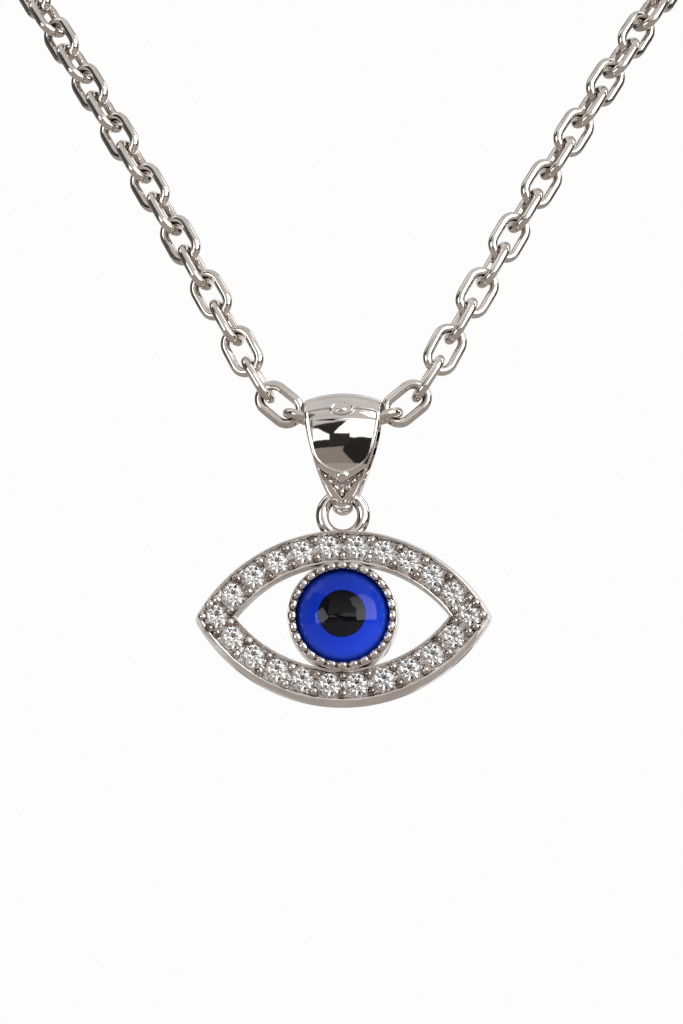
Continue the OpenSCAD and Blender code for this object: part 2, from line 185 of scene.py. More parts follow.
# Share of the floor's light that the metal shows
FLOOR_IN_METAL = (0.5, 0.455, 0.42)

# Floor
FLOOR_R = 1450
FLOOR_DEPTH = 340
FLOOR_CORNERS = 96

# Picture
PICTURE_W, PICTURE_H = 683, 1024
PIXELS_PER_MM = 13.5
CAMERA_AZIMUTH = 2.5
CAMERA_ELEVATION = -8.5
CAMERA_DISTANCE = 420
# Where the eye's centre is in the picture, in its pixels
EYE_PIXEL = (343, 617)

# Worked out from the sizes above
ROW_R = ((ROW_W / 2) ** 2 + ROW_RISE ** 2) / (2 * ROW_RISE)
ROW_CENTRE = ROW_R - ROW_RISE
ROW_HALF_ANGLE = asin(ROW_W / 2 / ROW_R)
ROW_PITCH_ANGLE = 2 * ROW_HALF_ANGLE / (ARC_STONES - 1)
RIM_OFFSET = STONE_D / 2 + RIM_GAP + RIM_W
BED_OFFSET = STONE_D / 2 + RIM_GAP
BED_H = FRAME_T - BED_DEPTH
SEAT_R = STONE_D / 2 + SEAT_GAP
RING_R = (RING_HOLE_D + RING_WIRE_D) / 2
RING_HEIGHT = RING_HINGE.z - RING_R - EYE_CENTRE.z
LINK_L = LINK_STEP + 2 * WIRE_D + LINK_GAP


def on_eye(u, v, w):
    """Point of the eye: u to the right, v up, w forward from the frame's back."""
    return (EYE_CENTRE + Vector((u, -w, v))) * MM


def smooth_step(low, high, value):
    t = min(max((value - low) / (high - low), 0.0), 1.0)
    return t * t * (3 - 2 * t)


def smooth_min(values, k):
    """Least of the values, rounded where two come within k of each other."""
    least = values[0]
    for value in values[1:]:
        h = max(k - abs(least - value), 0.0) / k
        least = min(least, value) - h * h * k / 4
    return least


class Nodes:
    """Writes a node tree: add makes a node and sets or links its inputs."""

    def __init__(self, tree):
        self.tree = tree

    def add(self, kind, inputs=None, **settings):
        node = self.tree.nodes.new(kind)
        for name, value in settings.items():
            setattr(node, name, value)
        for key, value in (inputs or {}).items():
            if isinstance(value, bpy.types.NodeSocket):
                self.tree.links.new(value, node.inputs[key])
            else:
                node.inputs[key].default_value = value
        return node

    def first(self, kind, inputs=None, **settings):
        """First output of the node that add makes."""
        return self.add(kind, inputs, **settings).outputs[0]

    def link(self, source, target):
        self.tree.links.new(source, target)

    def math(self, operation, first, second=0.0):
        return self.first("ShaderNodeMath", {0: first, 1: second}, operation=operation)

    def times(self, first, second):
        return self.math("MULTIPLY", first, second)

    def vector(self, operation, first, second):
        return self.first("ShaderNodeVectorMath", {0: first, 1: second}, operation=operation)

    def measure(self, operation, *vectors):
        """Number that a vector operation gives."""
        inputs = dict(enumerate(vectors))
        return self.add("ShaderNodeVectorMath", inputs, operation=operation).outputs["Value"]

    def combine(self, x=0.0, y=0.0, z=0.0):
        return self.first("ShaderNodeCombineXYZ", {0: x, 1: y, 2: z})


def new_material(name, values):
    """Empty material with one shader, whose inputs have the values."""
    material = bpy.data.materials.new(name)
    material.use_nodes = True
    material.node_tree.nodes.clear()
    nodes = Nodes(material.node_tree)
    shader = nodes.add("ShaderNodeBsdfPrincipled", values)
    output = nodes.add("ShaderNodeOutputMaterial")
    nodes.link(shader.outputs["BSDF"], output.inputs["Surface"])
    place = nodes.add("ShaderNodeTexCoord").outputs["Object"]
    return material, nodes, shader, place


def noise(nodes, place, size_mm, detail=3.0):
    """Noise whose blobs are about size_mm wide."""
    inputs = {"Vector": place, "Scale": 1 / (size_mm * MM), "Detail": detail}
    return nodes.add("ShaderNodeTexNoise", inputs).outputs["Fac"]


def ramp(nodes, value, stops, interpolation="LINEAR"):
    made = nodes.add("ShaderNodeValToRGB", {"Fac": value})
    made.color_ramp.interpolation = interpolation
    points = made.color_ramp.elements
    while len(points) < len(stops):
        points.new(0.5)
    for point, (position, colour) in zip(points, stops):
        point.position = position
        point.color = (*colour, 1)
    return made.outputs["Color"]


def spread(nodes, value, low, high, start=0.0, end=1.0, **settings):
    """Stretches start to end of a value over low to high."""
    return nodes.add("ShaderNodeMapRange", {
        "Value": value, "From Min": start, "From Max": end, "To Min": low, "To Max": high,
    }, **settings).outputs["Result"]


def mix_colour(nodes, share, first, second, **settings):
    """Colour that goes from the first to the second as the share goes from 0 to 1."""
    inputs = {"Factor": share, "A": first, "B": second}
    return nodes.add("ShaderNodeMix", inputs, data_type="RGBA", **settings).outputs["Result"]


def plated_silver(name, light, dark, smooth, rough, dents, dent_size, oxide_and_shade, tone_size=2.2):
    """Rhodium-plated silver: uneven tone (painted reflections on the beads), polish and dents, and dark
    oxide with painted shade in its narrow hollows.
    """
    material, nodes, shader, place = new_material(name, {"Metallic": 1.0})
    tone = ramp(nodes, noise(nodes, place, tone_size), [(0.35, dark), (0.62, light)])
    polish = spread(nodes, noise(nodes, place, 0.8, 5.0), smooth, rough)
    bump = nodes.add("ShaderNodeBump", {
        "Height": noise(nodes, place, dent_size, 0.6), "Strength": 1.0,
        "Distance": dents * DENT_DEPTH * MM,
    })
    # Painted shade: the colour sinks towards the oxide colour in narrow hollows, the more the closer
    # they are shut in
    open_share = nodes.add(
        "ShaderNodeAmbientOcclusion", {"Distance": HOLLOW_SHADE_REACH * MM}, samples=8
    ).outputs["AO"]
    hollow_shade = spread(nodes, open_share, oxide_and_shade, 0.0, 0.3, 0.85)
    nodes.link(mix_colour(nodes, hollow_shade, tone, (*OXIDE_AND_SHADE, 1)), shader.inputs["Base Color"])
    nodes.link(polish, shader.inputs["Roughness"])
    nodes.link(bump.outputs["Normal"], shader.inputs["Normal"])
    return material


def glass_material(name, stops, centre, reach_mm):
    """Polished glass: its colour changes away from the eye's axis, with a painted glow that brightens
    it towards its foot.
    """
    reach = reach_mm * MM
    material, nodes, shader, place = new_material(name, {
        "Roughness": 0.3, "Specular IOR Level": 0.0, "Coat Roughness": 0.015, "Coat IOR": 1.36,
    })
    apart = nodes.vector("SUBTRACT", place, centre)
    parts = nodes.add("ShaderNodeSeparateXYZ", {0: apart}).outputs
    radius = nodes.measure("LENGTH", nodes.combine(x=parts["X"], z=parts["Z"]))
    cloud = spread(nodes, noise(nodes, place, 1.6), -0.03, 0.03)
    share = nodes.math("ADD", nodes.math("DIVIDE", radius, reach), cloud)
    tone = ramp(nodes, share, stops, "B_SPLINE")
    # Painted glow: the colour is scaled up towards the foot and down towards the top
    painted_glow = spread(nodes, parts["Z"], *GLASS_PAINTED_GLOW, -reach, reach)
    gloss = spread(nodes, parts["Z"], *GLASS_GLOSS, 0.0, reach)
    colour = nodes.first("ShaderNodeVectorMath", {0: tone, "Scale": painted_glow}, operation="SCALE")
    nodes.link(colour, shader.inputs["Base Color"])
    nodes.link(gloss, shader.inputs["Coat Weight"])
    return material


def stone_material():
    """Clear cut stone with a faint grey cast that drifts from stone to stone."""
    clear = {"Roughness": 0.0, "IOR": 2.15, "Transmission Weight": 1.0}
    material, nodes, shader, place = new_material("brilliant_stone", clear)
    tint = ramp(nodes, noise(nodes, place, 2.6), [(0.3, (0.93, 0.95, 0.99)), (0.7, (1, 1, 1))])
    nodes.link(tint, shader.inputs["Base Color"])
    return material


def floor_material():
    """Pale matt floor that shows darker in the metal than to the eye."""
    material, nodes, shader, place = new_material("pale_floor", {"Roughness": 0.7})
    stops = [(0.3, (0.88, 0.88, 0.88)), (0.7, (0.92, 0.92, 0.92))]
    tone = ramp(nodes, noise(nodes, place, 40), stops)
    warm = nodes.vector("MULTIPLY", tone, FLOOR_IN_METAL)
    seen = nodes.add("ShaderNodeLightPath").outputs["Is Camera Ray"]
    nodes.link(mix_colour(nodes, seen, warm, tone), shader.inputs["Base Color"])
    return material


# Finishes of the metal: light and dark tone, smoothest and roughest polish, strength of the dents and
# their size in mm, oxide and painted shade in the hollows, and size of the tones in mm where it isn't
# the usual one
METALS = {
    "polished_rhodium": ((0.79, 0.75, 0.725), (0.73, 0.685, 0.655), 0.015, 0.045, 0.12, 0.8, 0.35),
    # On the beads, light and dark tone blobs smaller than a bead are painted reflections, bright and
    # dark patches on each one
    "bead_rhodium": ((0.76, 0.705, 0.67), (0.2, 0.16, 0.135), 0.03, 0.07, 2.2, 0.3, 0.6, 0.8),
    "grain_rhodium": ((0.82, 0.775, 0.74), (0.6, 0.55, 0.51), 0.03, 0.08, 0.8, 0.35, 0.95),
    "bright_seat": ((0.96, 0.95, 0.94), (0.88, 0.865, 0.85), 0.1, 0.2, 0.2, 0.4, 0.0),
    "cast_rhodium": ((0.88, 0.84, 0.81), (0.72, 0.67, 0.63), 0.04, 0.1, 0.8, 0.45, 0.6),
    # A rougher, dented copy of the cast finish for the sunken bed and the bail's petal field; its
    # darker tone is painted shade
    "pave_bed": ((0.81, 0.76, 0.72), (0.58, 0.525, 0.48), 0.07, 0.16, 3.0, 0.4, 0.7),
    # A darker copy of the metal for the inner walls and the bezel's groove: painted shade
    "shaded_inner_wall": ((0.56, 0.505, 0.46), (0.36, 0.31, 0.275), 0.08, 0.18, 1.0, 0.4, 0.6),
    "chain_rhodium": ((0.79, 0.745, 0.71), (0.67, 0.62, 0.58), 0.05, 0.12, 0.3, 0.6, 0.6),
}
polished, bead_metal, grain_metal, bright_seat, cast, shaded_recess, shaded_inner_wall, chain_metal = (
    plated_silver(name, *finish) for name, finish in METALS.items()
)
eye_axis = EYE_CENTRE * MM
blue_glass = glass_material(
    "blue_glass",
    [(0.0, (0.005, 0.03, 0.5)), (0.62, (0.006, 0.036, 0.55)), (0.84, (0.014, 0.06, 0.66)),
     (0.93, (0.008, 0.03, 0.34)), (1.0, (0.001, 0.003, 0.06))],
    eye_axis, GLASS_D / 2,
)
black_glass = glass_material(
    "black_glass",
    [(0.0, (0.003, 0.003, 0.004)), (0.9, (0.004, 0.004, 0.006)), (1.0, (0.004, 0.005, 0.02))],
    eye_axis, PUPIL_D / 2,
)
brilliant_stone = stone_material()


def add_object(name, data):
    holder = bpy.data.objects.new(name, data)
    bpy.context.scene.collection.objects.link(holder)
    return holder


def settle(piece, body, slot, *nodes):
    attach(piece, body)
    if nodes:
        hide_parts(*nodes)


class Shell:
    """Collects points and faces, strip by strip, with a material for each face."""

    def __init__(self):
        self.points, self.faces, self.material_of = [], [], []

    def ring(self, points):
        first = len(self.points)
        self.points.extend(points)
        return list(range(first, first + len(points)))

    def face(self, corners, material=0):
        self.faces.append(corners)
        self.material_of.append(material)

    def bridge(self, below, above, material=0, closed=True):
        count = len(below)
        for i in range(count if closed else count - 1):
            j = (i + 1) % count
            self.face([below[i], below[j], above[j], above[i]], material)

    def piece(self, name, materials, sharp_angle=40):
        """Mesh piece of the faces, shaded smooth except over edges sharper than the angle."""
        mesh = bpy.data.meshes.new(name)
        mesh.from_pydata([tuple(p) for p in self.points], [], self.faces)
        for material in materials:
            mesh.materials.append(material)
        for polygon in mesh.polygons:
            polygon.material_index = self.material_of[polygon.index]
        mesh.validate()
        mesh.shade_smooth()
        mesh.set_sharp_from_angle(angle=radians(sharp_angle))
        return add_object(name, mesh)


def full_turn(count):
    """Angles evenly round a circle."""
    return [2 * pi * k / count for k in range(count)]


def circle(u, v, r, w, count):
    """Points of a circle on the eye, round a middle at u and v."""
    return [on_eye(u + r * cos(a), v + r * sin(a), w) for a in full_turn(count)]


def almond(offset):
    """Loop round the almond at an offset from the stone rows, from the right tip against the clock."""
    arc_r = ROW_R + offset
    tip_r = max(TIP_R + offset - RIM_OFFSET, LEAST_TIP_R)
    tip_x = sqrt((arc_r - tip_r) ** 2 - ROW_CENTRE ** 2)
    turn = atan2(ROW_CENTRE, tip_x)
    loop = []
    for side in (1, -1):
        for i in range(TIP_POINTS):
            a = turn * (2 * i / TIP_POINTS - 1)
            loop.append((side * (tip_x + tip_r * cos(a)), side * tip_r * sin(a)))
        for i in range(ARC_POINTS):
            a = turn + (pi - 2 * turn) * i / ARC_POINTS
            loop.append((side * arc_r * cos(a), side * (arc_r * sin(a) - ROW_CENTRE)))
    return loop


def stone_places():
    """Centres of the stones, the upper arc from the left tip first."""
    places = []
    for row, first, last in ((1, 0, ARC_STONES), (-1, 1, ARC_STONES - 1)):
        for i in range(first, last):
            a = -ROW_HALF_ANGLE + i * ROW_PITCH_ANGLE
            places.append((ROW_R * sin(a), row * (ROW_R * cos(a) - ROW_CENTRE)))
    return places


def pierced_floor(shell, outer, inner, holes, hole_r, facing, material):
    """Flat floor between two loops, pierced by a round hole under each stone."""
    loops = [outer, inner, *holes]
    numbers = [i for loop in loops for i in loop]
    flat = [Vector((shell.points[i].x, shell.points[i].z)) for i in numbers]
    edges, first = [], 0
    for loop in loops:
        edges.extend((first + k, first + (k + 1) % len(loop)) for k in range(len(loop)))
        first += len(loop)
    points, _, faces, sources, _, _ = delaunay_2d_cdt(flat, edges, [], 0, 1e-9)
    outer_flat = flat[:len(outer)]
    inner_flat = flat[len(outer):len(outer) + len(inner)]
    centres = [on_eye(u, v, 0) for u, v in stone_places()]
    for face in faces:
        middle = sum((points[i] for i in face), Vector((0, 0))) / len(face)
        if not inside(middle, outer_flat) or inside(middle, inner_flat):
            continue
        if any(hypot(middle.x - c.x, middle.y - c.z) < hole_r * MM * 0.98 for c in centres):
            continue
        corners = [numbers[sources[i][0]] for i in face]
        first_corner, second, third = (points[i] for i in face[:3])
        turn = (second - first_corner).cross(third - first_corner)
        shell.face(corners if turn * facing > 0 else corners[::-1], material)


def inside(point, loop):
    odd = False
    for a, b in zip(loop, loop[1:] + loop[:1]):
        if (a.y > point.y) != (b.y > point.y):
            if point.x < a.x + (b.x - a.x) * (point.y - a.y) / (b.y - a.y):
                odd = not odd
    return odd


def rounded_rim(outer, inner, outer_r, inner_r):
    """Offsets and heights over a rim, from its outer wall in to its inner one, with rounded edges."""
    turns = [radians(15 * k) for k in range(7)]
    parts = [(outer, -outer_r, a) for a in turns] + [(inner, inner_r, a) for a in reversed(turns)]
    return [(o + r * (1 - cos(a)), FRAME_T - abs(r) * (1 - sin(a))) for o, r, a in parts]


def make_eye_frame():
    shell = Shell()

    def loop(offset, w):
        return shell.ring([on_eye(u, v, w) for u, v in almond(offset)])

    back = RIM_OFFSET + FLARE
    walls = [
        (back - BACK_ROUND, 0), (back - BACK_ROUND * 0.3, BACK_ROUND * 0.3),
        (back, BACK_ROUND), (RIM_OFFSET + FLARE * WALL_BEND[0], FRAME_T * WALL_BEND[1]),
    ]
    walls += rounded_rim(RIM_OFFSET, BED_OFFSET, RIM_ROUND, RIM_SLOPE)
    outer = [loop(o, w) for o, w in walls]
    outer.append(loop(BED_OFFSET, BED_H))
    inner = [loop(-BED_OFFSET, BED_H)]
    inner += [loop(o, w) for o, w in rounded_rim(-BED_OFFSET, -RIM_OFFSET, RIM_SLOPE, RIM_ROUND)]
    inner += [loop(-RIM_OFFSET, BACK_ROUND), loop(-RIM_OFFSET + BACK_ROUND, 0)]
    materials = [cast, shaded_recess, bright_seat, shaded_inner_wall]
    for strip in (outer, inner):
        for below, above in zip(strip, strip[1:]):
            # The opening's inner wall takes the darker finish, painted shade
            finish = shaded_inner_wall if below is inner[-3] else cast
            shell.bridge(below, above, materials.index(finish))
    seats, azures = [], []
    azure_share = AZURE_D / 2 / SEAT_R
    # A seat's edge, a step of its cone, the cone's end and the frame's back, as radius and height
    seat_profile = [
        (SEAT_R, BED_H), (SEAT_R * (1 - SEAT_STEP), BED_H - PAVILION_H * SEAT_STEP),
        (AZURE_D / 2, BED_H - PAVILION_H * (1 - azure_share)), (AZURE_D / 2, 0),
    ]
    for u, v in stone_places():
        rings = [shell.ring(circle(u, v, r, w, SEAT_POINTS)) for r, w in seat_profile]
        for above, below in zip(rings, rings[1:]):
            shell.bridge(above, below, materials.index(bright_seat))
        seats.append(rings[0])
        azures.append(rings[-1])
    # The bed between the seats takes the darker finish, painted shade
    pierced_floor(shell, outer[-1], inner[0], seats, SEAT_R, 1, materials.index(shaded_recess))
    pierced_floor(shell, outer[0], inner[-1], azures, AZURE_D / 2, -1, materials.index(cast))
    return shell.piece("eye_frame", materials)


def lathe(name, profile, segments, materials, closed=False, sharp_angle=40, shaded_strips=()):
    """Turned piece from a profile of radii and heights; strips in painted shade take its second, darker
    material.
    """
    shell = Shell()
    on_axis = 1e-6
    rings = [
        shell.ring([on_eye(0, 0, w)] if r < on_axis else circle(0, 0, r, w, segments))
        for r, w in profile
    ]
    after = rings[1:] + (rings[:1] if closed else [])
    for number, (below, above) in enumerate(zip(rings, after)):
        material = int(number in shaded_strips)
        if len(above) == 1:
            for k in range(segments):
                shell.face([below[k], below[(k + 1) % segments], above[0]], material)
        elif len(below) == 1:
            for k in range(segments):
                shell.face([below[0], above[(k + 1) % segments], above[k]], material)
        else:
            shell.bridge(below, above, material)
    return shell.piece(name, materials, sharp_angle)


def make_bezel():
    """Bezel wall with a rounded lip, the seat of the cabochon and an open back."""
    outer_r = BEZEL_D / 2
    bore_r = GLASS_D / 2 + GLASS_GAP
    foot_r = outer_r + FLARE / 4
    lip_round, groove_h = LIP_W / 2, BEZEL_H - GROOVE_DEPTH
    foot = [(bore_r - LEDGE_W, 0.0), (foot_r - BEZEL_CHAMFER, 0.0), (foot_r, BEZEL_CHAMFER)]
    lip = [
        (outer_r - lip_round * (1 - cos(a)), BEZEL_H - lip_round * (1 - sin(a)))
        for a in (radians(20 * k) for k in range(10))
    ]
    groove = [
        (outer_r - LIP_W, groove_h), (bore_r, groove_h), (bore_r, LEDGE_H), (bore_r - LEDGE_W, LEDGE_H),
    ]
    # The lip's inner wall and the groove's floor take the darker finish, painted shade
    dark = (len(foot) + len(lip) - 1, len(foot) + len(lip))
    profile = foot + lip + groove
    return lathe("bezel", profile, 144, [cast, shaded_inner_wall], closed=True, shaded_strips=dark)


def dome_profile(r_from, steps):
    """Points of the cabochon's dome, from a radius in to the axis."""
    glass_r = GLASS_D / 2
    dome_r = (glass_r ** 2 + DOME_H ** 2) / (2 * DOME_H)
    top = LEDGE_H + GLASS_GAP + GLASS_EDGE_H + DOME_H
    low_angle = asin(r_from / dome_r)
    angles = [low_angle * (1 - k / steps) for k in range(steps + 1)]
    return [(dome_r * sin(a), top - dome_r * (1 - cos(a))) for a in angles], top


def make_glass_eye():
    glass_r = GLASS_D / 2
    base = LEDGE_H + GLASS_GAP
    pocket_r = PUPIL_D / 2 + GLASS_GAP
    dome, top = dome_profile(glass_r, 48)
    outer = [point for point in dome if point[0] > pocket_r + 0.04]
    edge = dome_profile(pocket_r, 1)[0][0]
    pocket_h = top - PUPIL_DEPTH - GLASS_GAP
    foot = [(0, base), (glass_r - GLASS_CHAMFER, base), (glass_r, base + GLASS_CHAMFER)]
    profile = [*foot, *outer, edge, (pocket_r, pocket_h), (0, pocket_h)]
    return lathe("glass_eye_dome", profile, 128, [blue_glass], sharp_angle=50)


def make_pupil():
    dome, top = dome_profile(PUPIL_D / 2, 20)
    profile = [(0, top - PUPIL_DEPTH), (PUPIL_D / 2, top - PUPIL_DEPTH), *dome]
    return lathe("pupil_dome", profile, 96, [black_glass], sharp_angle=50)


def make_ring():
    """Round wire ring that stands in the plane of the eye, with its two solder feet."""
    shell = Shell()
    rings = []
    for a in full_turn(120):
        wire = []
        for b in full_turn(28):
            r, w = RING_R + RING_WIRE_D / 2 * cos(b), RING_PLANE + RING_WIRE_D / 2 * sin(b)
            wire.append(on_eye(r * cos(a), RING_HEIGHT + r * sin(a), w))
        rings.append(shell.ring(wire))
    for below, above in zip(rings, rings[1:] + rings[:1]):
        shell.bridge(above, below)
    solder_v = ROW_RISE + RIM_OFFSET - SOLDER_SINK
    for side in (-1, 1):
        add_blob(shell, (side * SOLDER_U, solder_v, RING_PLANE), SOLDER_SIZE)
    return shell.piece("hanging_ring", [polished])


def add_blob(shell, centre, size, across=20, around=28):
    """Smooth egg of solder on the eye."""
    u0, v0, w0 = centre
    turns = full_turn(around)
    rows = [shell.ring([on_eye(u0, v0, w0 + size[2])])]
    for i in range(1, across):
        a = pi * i / across
        wide, high, w = size[0] * sin(a), size[1] * sin(a), w0 + size[2] * cos(a)
        rows.append(shell.ring([on_eye(u0 + wide * cos(b), v0 + high * sin(b), w) for b in turns]))
    rows.append(shell.ring([on_eye(u0, v0, w0 - size[2])]))
    for k in range(around):
        j = (k + 1) % around
        shell.face([rows[0][0], rows[1][k], rows[1][j]])
        shell.face([rows[-1][0], rows[-2][j], rows[-2][k]])
    for above, below in zip(rows[1:-1], rows[2:-1]):
        shell.bridge(below, above)


# Geometry Nodes

def new_tree(name, sizes):
    """Empty node group with a geometry output, and a named input for each size."""
    group = bpy.data.node_groups.new(name, "GeometryNodeTree")
    group.interface.new_socket(name="Geometry", in_out="INPUT", socket_type="NodeSocketGeometry")
    for size, value in sizes.items():
        kind = "NodeSocketInt" if isinstance(value, int) else "NodeSocketFloat"
        group.interface.new_socket(name=size, in_out="INPUT", socket_type=kind).default_value = value
    group.interface.new_socket(name="Geometry", in_out="OUTPUT", socket_type="NodeSocketGeometry")
    nodes = Nodes(group)
    return group, nodes, nodes.add("NodeGroupInput").outputs


def close_tree(nodes, geometry, material):
    """Ends a tree: instances made real, smooth shading and the material."""
    real = nodes.first("GeometryNodeRealizeInstances", {"Geometry": geometry})
    smooth = nodes.first("GeometryNodeSetShadeSmooth", {"Geometry": real})
    done = nodes.first("GeometryNodeSetMaterial", {"Geometry": smooth, "Material": material})
    nodes.link(done, nodes.add("NodeGroupOutput").inputs[0])


def grow(name, group, sizes, points=(), turns=()):
    """Runs a tree on a mesh of points and returns its result as a plain mesh piece."""
    seed = bpy.data.meshes.new(name + "_points")
    seed.from_pydata([tuple(p) for p in points] or [(0, 0, 0)], [], [])
    if turns:
        turn = seed.attributes.new("turn", "FLOAT_VECTOR", "POINT")
        for spot, euler in zip(turn.data, turns):
            spot.vector = euler
    holder = add_object(name + "_holder", seed)
    modifier = holder.modifiers.new(name, "NODES")
    modifier.node_group = group
    for item in group.interface.items_tree:
        if item.in_out == "INPUT" and item.name in sizes:
            modifier[item.identifier] = sizes[item.name]
    bpy.context.view_layer.update()
    evaluated = holder.evaluated_get(bpy.context.evaluated_depsgraph_get())
    mesh = bpy.data.meshes.new_from_object(evaluated)
    mesh.name = name
    bpy.data.objects.remove(holder)
    return add_object(name, mesh)


def arc_points(nodes, count, first_angle, step_angle):
    """Points of a line with the angle of each, worked out from its number."""
    line = nodes.add("GeometryNodeMeshLine", {"Count": count})
    index = nodes.first("GeometryNodeInputIndex")
    angle = nodes.math("ADD", nodes.times(index, step_angle), first_angle)
    return line.outputs[0], angle


def place_points(nodes, points, u, v, w):
    """Moves points to places on the eye, u to the right, v up and w forward, all in metres."""
    place = nodes.combine(u, nodes.times(w, -1.0), v)
    at = nodes.vector("ADD", place, tuple(EYE_CENTRE * MM))
    return nodes.first("GeometryNodeSetPosition", {"Geometry": points, "Position": at})


def turned_by(nodes, euler):
    return nodes.first("FunctionNodeEulerToRotation", {0: euler})


def wobble(nodes, least, most, seed):
    """Random size of each instance, as a share of the full size along each axis."""
    return nodes.first(
        "FunctionNodeRandomValue", {0: least, 1: most, "Seed": seed}, data_type="FLOAT_VECTOR"
    )


def bead_tree():
    """Prong beads: two rows on each side of the stones, and a few round each tip stone."""
    group, nodes, size = new_tree("prong_beads", {
        "Row radius": 1.0, "Row centre": 1.0, "Row width": 1.0, "Half angle": 1.0, "Gaps": 11,
        "Side step": 1.0, "Bead diameter": 1.0, "Height": 1.0, "Tip reach": 1.0, "Tip angle": 1.0,
        "Tip beads": 3, "Seed": 4,
    })
    pitch = nodes.math("DIVIDE", nodes.times(size["Half angle"], 2.0), size["Gaps"])
    first = nodes.math("SUBTRACT", nodes.times(pitch, 0.5), size["Half angle"])
    rows = []
    for up in (1.0, -1.0):
        for side in (1.0, -1.0):
            points, angle = arc_points(nodes, size["Gaps"], first, pitch)
            r = nodes.math("ADD", size["Row radius"], nodes.times(size["Side step"], side))
            u = nodes.times(r, nodes.math("SINE", angle))
            rise = nodes.times(r, nodes.math("COSINE", angle))
            v = nodes.times(nodes.math("SUBTRACT", rise, size["Row centre"]), up)
            rows.append(place_points(nodes, points, u, v, size["Height"]))
    for side in (1.0, -1.0):
        points, angle = arc_points(
            nodes, size["Tip beads"], nodes.times(size["Tip angle"], -1.0), size["Tip angle"]
        )
        reach = nodes.times(size["Tip reach"], nodes.math("COSINE", angle))
        out = nodes.math("ADD", reach, nodes.times(size["Row width"], 0.5))
        u = nodes.times(out, side)
        v = nodes.times(size["Tip reach"], nodes.math("SINE", angle))
        rows.append(place_points(nodes, points, u, v, size["Height"]))
    join = nodes.add("GeometryNodeJoinGeometry")
    for row in rows:
        nodes.link(row, join.inputs[0])
    ball = {"Segments": 24, "Rings": 14, "Radius": nodes.times(size["Bead diameter"], 0.5)}
    bead = nodes.first("GeometryNodeMeshUVSphere", ball)
    scale = wobble(nodes, (0.93, 0.93, 0.93), (1.07, 1.02, 1.07), size["Seed"])
    inputs = {"Points": join.outputs[0], "Instance": bead, "Scale": scale}
    beads = nodes.first("GeometryNodeInstanceOnPoints", inputs)
    close_tree(nodes, beads, bead_metal)
    return group


def barrel(nodes):
    """Blunt barrel along X, 2 long and 2 wide: its outline is the square root of 1 - s^6."""
    line = nodes.first("GeometryNodeCurvePrimitiveLine", {"Start": (-1, 0, 0), "End": (1, 0, 0)})
    line = nodes.first("GeometryNodeResampleCurve", {"Curve": line, "Count": 17})
    factor = nodes.add("GeometryNodeSplineParameter").outputs["Factor"]
    s = nodes.times(nodes.math("COSINE", nodes.times(factor, pi)), -1.0)
    fall = nodes.math("POWER", nodes.math("ABSOLUTE", s), 6.0)
    width = nodes.math("SQRT", nodes.math("SUBTRACT", 1.0, fall))
    at = nodes.combine(x=s)
    line = nodes.first("GeometryNodeSetPosition", {"Geometry": line, "Position": at})
    round_wire = nodes.first("GeometryNodeCurvePrimitiveCircle", {"Resolution": 18, "Radius": 1.0})
    inputs = {"Curve": line, "Profile Curve": round_wire, "Scale": width}
    tube = nodes.first("GeometryNodeCurveToMesh", inputs)
    return nodes.first("GeometryNodeMergeByDistance", {"Geometry": tube, "Distance": 0.001})


def grain_tree():
    """Oblong grains that stand side by side round the bezel's lip."""
    group, nodes, size = new_tree("bezel_grains", {
        "Count": 28, "Radius": 1.0, "Height": 1.0, "Grain length": 1.0, "Grain width": 1.0,
        "Grain thickness": 1.0, "Seed": 9,
    })
    step = nodes.math("DIVIDE", 2 * pi, size["Count"])
    points, angle = arc_points(nodes, size["Count"], 0.0, step)
    u = nodes.times(size["Radius"], nodes.math("COSINE", angle))
    v = nodes.times(size["Radius"], nodes.math("SINE", angle))
    placed = place_points(nodes, points, u, v, size["Height"])
    turn = nodes.combine(y=nodes.math("SUBTRACT", -pi / 2, angle))
    change = wobble(nodes, (0.94, 0.94, 0.94), (1.04, 1.04, 1.04), size["Seed"])
    sides = [nodes.times(size["Grain " + side], 0.5) for side in ("length", "thickness", "width")]
    scale = nodes.vector("MULTIPLY", nodes.combine(*sides), change)
    grains = nodes.first("GeometryNodeInstanceOnPoints", {
        "Points": placed, "Instance": barrel(nodes), "Rotation": turned_by(nodes, turn), "Scale": scale,
    })
    close_tree(nodes, grains, grain_metal)
    return group


def link_tree():
    """Oval links of round wire, one on each point, turned by the point's own turn."""
    group, nodes, size = new_tree("oval_links", {"Length": 1.0, "Width": 1.0, "Wire": 1.0})
    long_side = nodes.math("SUBTRACT", size["Length"], size["Wire"])
    short_side = nodes.math("SUBTRACT", size["Width"], size["Wire"])
    sides = {"Width": long_side, "Height": short_side}
    path = nodes.first("GeometryNodeCurvePrimitiveQuadrilateral", sides)
    bend = nodes.times(short_side, 0.49)
    fillet = {"Curve": path, "Count": 7, "Radius": bend}
    round_path = nodes.first("GeometryNodeFilletCurve", fillet, mode="POLY")
    section = {"Resolution": 12, "Radius": nodes.times(size["Wire"], 0.5)}
    wire = nodes.first("GeometryNodeCurvePrimitiveCircle", section, mode="RADIUS")
    flat = nodes.first("GeometryNodeCurveToMesh", {"Curve": round_path, "Profile Curve": wire})
    upright = nodes.first("GeometryNodeTransform", {"Geometry": flat, "Rotation": (pi / 2, 0, 0)})
    turn = nodes.first("GeometryNodeInputNamedAttribute", {"Name": "turn"}, data_type="FLOAT_VECTOR")
    links = nodes.first("GeometryNodeInstanceOnPoints", {
        "Points": size["Geometry"], "Instance": upright, "Rotation": turned_by(nodes, turn),
    })
    close_tree(nodes, links, chain_metal)
    return group


def mirrored(p):
    return (-p[0], p[1], p[2])


